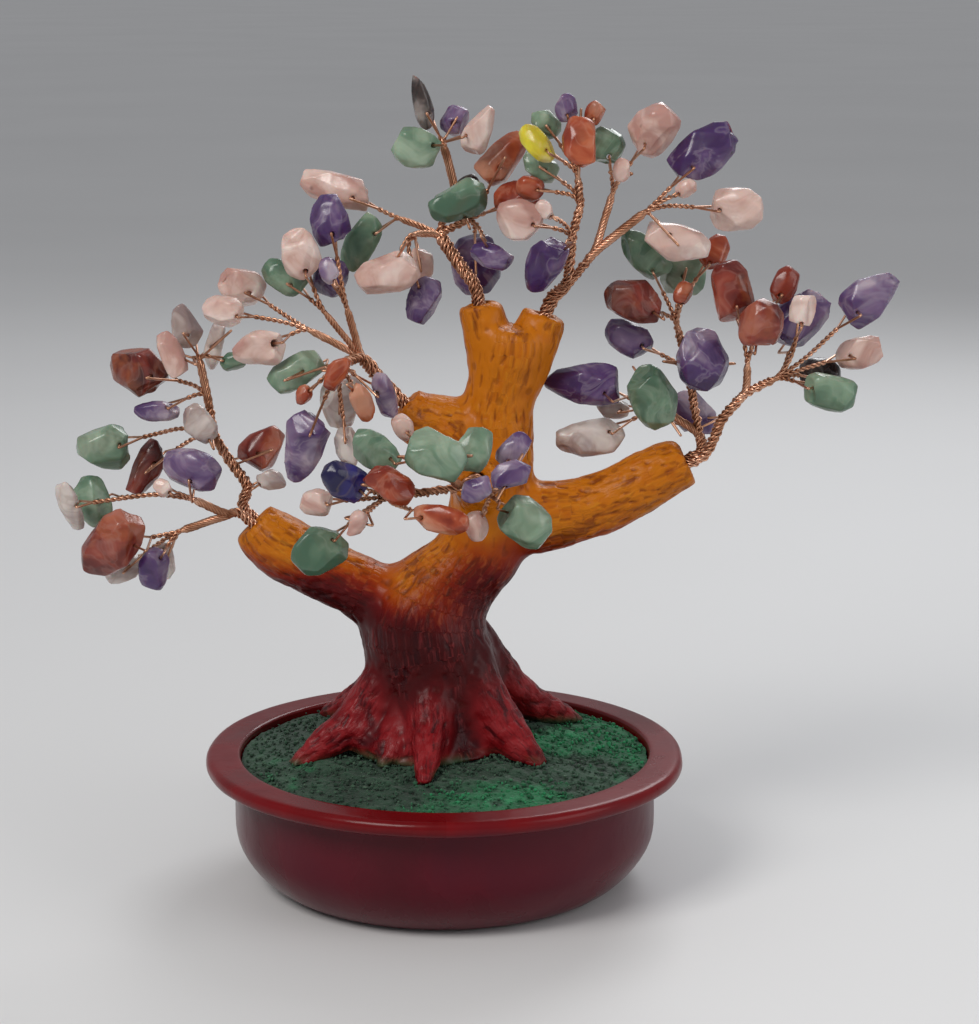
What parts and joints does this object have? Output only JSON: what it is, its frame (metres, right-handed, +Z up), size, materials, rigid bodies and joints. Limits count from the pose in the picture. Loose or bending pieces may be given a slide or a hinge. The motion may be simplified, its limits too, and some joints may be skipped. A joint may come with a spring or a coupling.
{
  "type": "gemstone tree ornament",
  "caption": "Bent resin tree in a round glazed pot with moss; copper wire branches carry tumbled stone chips and bend a little at the trunk.",
  "frame": {"origin": "centre of the pot's flat foot, on the table", "axes": "+Z up, +X to the right as the front view shows the tree, +Y away from the viewer"},
  "size_m": [0.1864, 0.1121, 0.1838],
  "materials": {
    "amethyst": "polished translucent purple",
    "aventurine": "polished mottled green",
    "carnelian": "polished translucent orange",
    "citrine": "polished translucent yellow",
    "clear_quartz": "polished, clear with dark inclusions",
    "copper": "bare rose-gold copper wire",
    "ground_fill": "cast plaster",
    "lapis": "polished deep blue",
    "moss": "flocked green moss",
    "pot": "glossy burgundy glaze, brighter red on the rim",
    "red_jasper": "polished dark red",
    "rose_quartz": "polished milky pink",
    "trunk": "cast resin, painted amber above and crimson below, gloss varnish",
    "white_quartz": "polished milky white with faint bands"
  },
  "bodies": {
    "root": {"pot": "pot", "ground_fill": "ground_fill", "moss": "moss", "trunk": "trunk", "wire_anchors": "copper"},
    "left_low": {"left_low_amethyst_chips": "amethyst", "left_low_aventurine_chips": "aventurine", "left_low_red_jasper_chips": "red_jasper", "left_low_rose_quartz_chips": "rose_quartz", "left_low_white_quartz_chips": "white_quartz", "left_low_wires": "copper"},
    "left_high": {"left_high_amethyst_chips": "amethyst", "left_high_aventurine_chips": "aventurine", "left_high_red_jasper_chips": "red_jasper", "left_high_rose_quartz_chips": "rose_quartz", "left_high_white_quartz_chips": "white_quartz", "left_high_wires": "copper"},
    "mid_left": {"mid_left_amethyst_chips": "amethyst", "mid_left_aventurine_chips": "aventurine", "mid_left_carnelian_chips": "carnelian", "mid_left_rose_quartz_chips": "rose_quartz", "mid_left_white_quartz_chips": "white_quartz", "mid_left_wires": "copper"},
    "top_left": {"top_left_amethyst_chips": "amethyst", "top_left_aventurine_chips": "aventurine", "top_left_carnelian_chips": "carnelian", "top_left_clear_quartz_chips": "clear_quartz", "top_left_rose_quartz_chips": "rose_quartz", "top_left_wires": "copper"},
    "top_right": {"top_right_amethyst_chips": "amethyst", "top_right_aventurine_chips": "aventurine", "top_right_carnelian_chips": "carnelian", "top_right_citrine_chips": "citrine", "top_right_rose_quartz_chips": "rose_quartz", "top_right_wires": "copper"},
    "right_inner": {"right_inner_amethyst_chips": "amethyst", "right_inner_aventurine_chips": "aventurine", "right_inner_carnelian_chips": "carnelian", "right_inner_red_jasper_chips": "red_jasper", "right_inner_white_quartz_chips": "white_quartz", "right_inner_wires": "copper"},
    "right_outer": {"right_outer_amethyst_chips": "amethyst", "right_outer_aventurine_chips": "aventurine", "right_outer_carnelian_chips": "carnelian", "right_outer_clear_quartz_chips": "clear_quartz", "right_outer_red_jasper_chips": "red_jasper", "right_outer_rose_quartz_chips": "rose_quartz", "right_outer_wires": "copper"},
    "front": {"front_amethyst_chips": "amethyst", "front_aventurine_chips": "aventurine", "front_carnelian_chips": "carnelian", "front_lapis_chips": "lapis", "front_rose_quartz_chips": "rose_quartz", "front_wires": "copper"}
  },
  "joints": [
    {"name": "left_low_bend", "type": "hinge", "parent": "root", "child": "left_low", "pos_m": [-0.04372, -0.0027, 0.08429], "axis": [0.002, 0, 1], "range_deg": [-1, 25]},
    {"name": "left_high_bend", "type": "hinge", "parent": "root", "child": "left_high", "pos_m": [-0.04372, 0.0027, 0.08429], "axis": [0.8779, 0, 0.4789], "range_deg": [-25, 2]},
    {"name": "mid_left_bend", "type": "hinge", "parent": "root", "child": "mid_left", "pos_m": [-0.00951, 0, 0.11151], "axis": [0.6108, 0, 0.7918], "range_deg": [0, 24]},
    {"name": "top_left_bend", "type": "hinge", "parent": "root", "child": "top_left", "pos_m": [0.00777, 0, 0.13447], "axis": [0.9298, 0, 0.3679], "range_deg": [-25, 0]},
    {"name": "top_right_bend", "type": "hinge", "parent": "root", "child": "top_right", "pos_m": [0.02307, 0, 0.13193], "axis": [0.9408, 0, -0.3389], "range_deg": [-4, 25]},
    {"name": "right_inner_bend", "type": "hinge", "parent": "root", "child": "right_inner", "pos_m": [0.0559, 0.0027, 0.09794], "axis": [0.9437, 0, 0.3309], "range_deg": [-25, 0]},
    {"name": "right_outer_bend", "type": "hinge", "parent": "root", "child": "right_outer", "pos_m": [0.0559, -0.0027, 0.09794], "axis": [0.7878, 0, -0.6159], "range_deg": [-4, 25]},
    {"name": "front_bend", "type": "hinge", "parent": "root", "child": "front", "pos_m": [0.00754, -0.02097, 0.09726], "axis": [-1, 0, 0], "range_deg": [-17, 17]}
  ]
}
